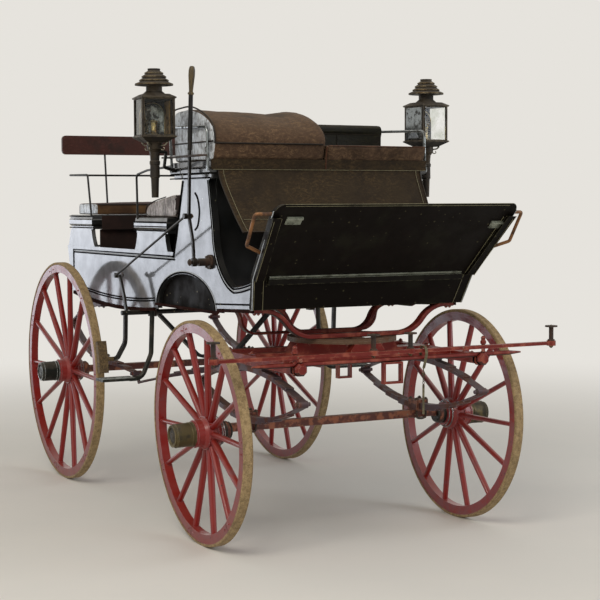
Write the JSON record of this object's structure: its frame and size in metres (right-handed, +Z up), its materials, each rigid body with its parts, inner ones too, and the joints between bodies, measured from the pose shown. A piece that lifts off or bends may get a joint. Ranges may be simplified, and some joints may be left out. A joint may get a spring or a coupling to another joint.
{
  "type": "open horse-drawn coach",
  "caption": "Open four-wheeled horse-drawn coach with a raised box seat, two facing passenger seats, a turntable fore-carriage, leaf springs, lamps and a lever brake.",
  "frame": {"origin": "on the ground midway along the coach and midway between its sides", "axes": "+X forward towards the pole, +Y to the coach's left side, +Z up"},
  "size_m": [3.3228, 1.8458, 2.2683],
  "materials": {
    "black_coach_paint": "deep gloss",
    "black_enamel": "gloss",
    "block_wood": "worn",
    "board_leather": "polished",
    "brass": "aged",
    "gold_cloth": "woven",
    "khaki_rubber": "dusty",
    "lamp_glass": "clear",
    "red_gear_paint": "worn satin",
    "red_wheel_paint": "worn gloss",
    "ring_iron": "dull",
    "seat_leather": "worn",
    "spring_steel": "dull oxide",
    "step_iron": "worn paint",
    "woven_cloth": "woven"
  },
  "bodies": {
    "coach_body": {"body_side_left": "black_coach_paint", "body_side_right": "black_coach_paint", "body_floor": "black_coach_paint", "tail_panel": "black_coach_paint", "arch_panels": "black_coach_paint", "boot_panels": "black_coach_paint", "toe_floor": "black_coach_paint", "footboard": "black_coach_paint", "footboard_handles": "black_enamel", "box_seat_board": "black_coach_paint", "driver_cushion": "seat_leather", "passenger_cushion": "seat_leather", "passenger_back": "seat_leather", "seat_apron": "seat_leather", "box_rails": "black_enamel", "rear_seat_base": "black_coach_paint", "rear_seat_cushion": "gold_cloth", "middle_seat_base": "black_coach_paint", "middle_seat_cushion": "woven_cloth", "seat_falls": "woven_cloth", "backrest_board": "board_leather", "seat_rails": "black_enamel", "lamps": "brass", "lamp_glasses": "lamp_glass", "lamp_brackets": "black_enamel", "body_irons": "red_gear_paint", "upper_ring": "ring_iron", "rear_axle": "red_gear_paint", "rear_springs": "spring_steel", "cross_spring": "spring_steel", "drop_iron": "black_enamel", "steps": "step_iron", "brake_brackets": "step_iron"},
    "fore_carriage": {"fore_bed": "red_gear_paint", "lower_ring": "ring_iron", "splinter_bars": "red_gear_paint", "roller_bolts": "red_gear_paint", "pole_sockets": "red_gear_paint", "bar_pillars": "red_gear_paint", "front_springs": "spring_steel", "front_spring_clamps": "red_gear_paint", "front_axle": "red_gear_paint"},
    "brake_lever": {"brake_lever": "step_iron"},
    "brake_rod": {"brake_rod": "step_iron"},
    "brake_shaft": {"brake_shaft": "step_iron", "brake_blocks": "block_wood"},
    "rear_left_wheel": {"rear_left_wheel": "red_wheel_paint", "rear_left_tyre": "khaki_rubber", "rear_left_hub_cap": "black_enamel"},
    "rear_right_wheel": {"rear_right_wheel": "red_wheel_paint", "rear_right_tyre": "khaki_rubber", "rear_right_hub_cap": "black_enamel"},
    "front_left_wheel": {"front_left_wheel": "red_wheel_paint", "front_left_tyre": "khaki_rubber", "front_left_hub_cap": "brass"},
    "front_right_wheel": {"front_right_wheel": "red_wheel_paint", "front_right_tyre": "khaki_rubber", "front_right_hub_cap": "brass"}
  },
  "joints": [
    {"name": "turntable", "type": "hinge", "parent": "coach_body", "child": "fore_carriage", "pos_m": [1.06, 0, 0.957], "axis": [0, 0, 1], "range_deg": [-60, 60]},
    {"name": "rear_left_axle", "type": "hinge", "parent": "coach_body", "child": "rear_left_wheel", "pos_m": [-1.04, 0.71281, 0.63496], "axis": [0, 0.9999, -0.0115], "continuous": true},
    {"name": "rear_right_axle", "type": "hinge", "parent": "coach_body", "child": "rear_right_wheel", "pos_m": [-1.04, -0.71281, 0.63496], "axis": [0, -0.9999, -0.0115], "continuous": true},
    {"name": "front_left_axle", "type": "hinge", "parent": "fore_carriage", "child": "front_left_wheel", "pos_m": [0.995, 0.72091, 0.53178], "axis": [0, 0.9996, -0.029], "continuous": true},
    {"name": "front_right_axle", "type": "hinge", "parent": "fore_carriage", "child": "front_right_wheel", "pos_m": [0.995, -0.72091, 0.53178], "axis": [0, -0.9996, -0.029], "continuous": true},
    {"name": "brake_handle", "type": "hinge", "parent": "coach_body", "child": "brake_lever", "pos_m": [0.731, -0.634, 1.324], "axis": [0, 1, 0], "range_deg": [-12, 1.6]},
    {"name": "rod_pin", "type": "hinge", "parent": "brake_lever", "child": "brake_rod", "pos_m": [0.674, -0.634, 1.547], "axis": [0, 1, 0], "range_deg": [-1.6, 12]},
    {"name": "brake_cross_shaft", "type": "hinge", "parent": "coach_body", "child": "brake_shaft", "pos_m": [-0.2, 0, 1.022], "axis": [0, 1, 0], "range_deg": [-12.4, 1.7]}
  ],
  "couplings": [
    {"joint": "rod_pin", "follows": "brake_handle", "ratio": -1},
    {"joint": "brake_cross_shaft", "follows": "brake_handle", "ratio": 1}
  ]
}
